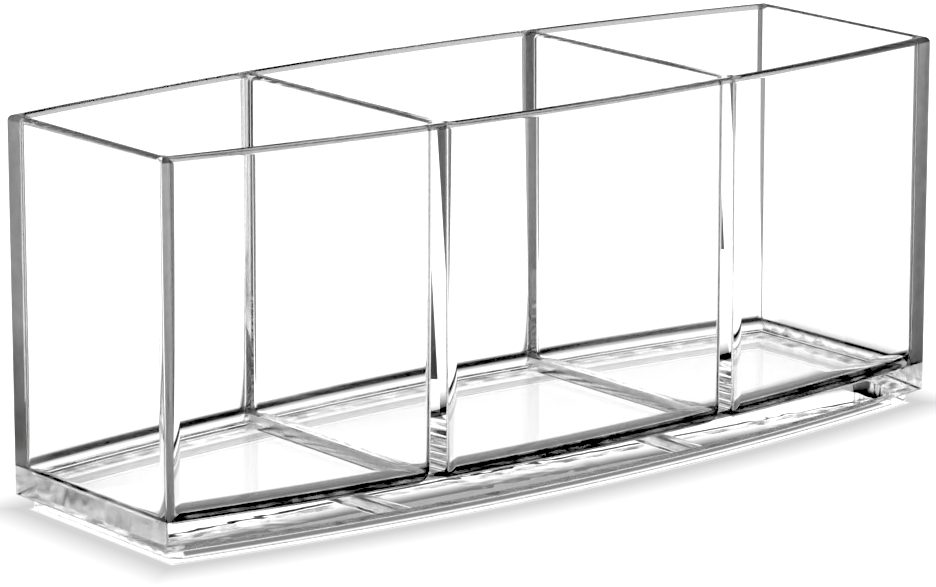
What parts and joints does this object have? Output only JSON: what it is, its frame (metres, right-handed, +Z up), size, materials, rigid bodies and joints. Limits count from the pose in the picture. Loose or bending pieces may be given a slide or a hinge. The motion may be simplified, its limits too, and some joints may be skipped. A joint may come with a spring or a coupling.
{
  "type": "makeup brush holder",
  "caption": "Clear open-topped makeup brush holder with flat ends, bowed front and back walls, cross dividers and a thick base on a low stepped foot.",
  "frame": {"origin": "middle of the footprint, on the table that the foot ring stands on", "axes": "+X along the length to the right end, +Y from the front to the back, +Z up"},
  "size_m": [0.235, 0.084, 0.095],
  "materials": {
    "clear_acrylic": "clear, colourless, polished"
  },
  "bodies": {
    "root": {"base": "clear_acrylic", "foot_ring": "clear_acrylic", "front_wall": "clear_acrylic", "back_wall": "clear_acrylic", "left_end_wall": "clear_acrylic", "right_end_wall": "clear_acrylic", "left_divider": "clear_acrylic", "right_divider": "clear_acrylic"}
  },
  "joints": []
}
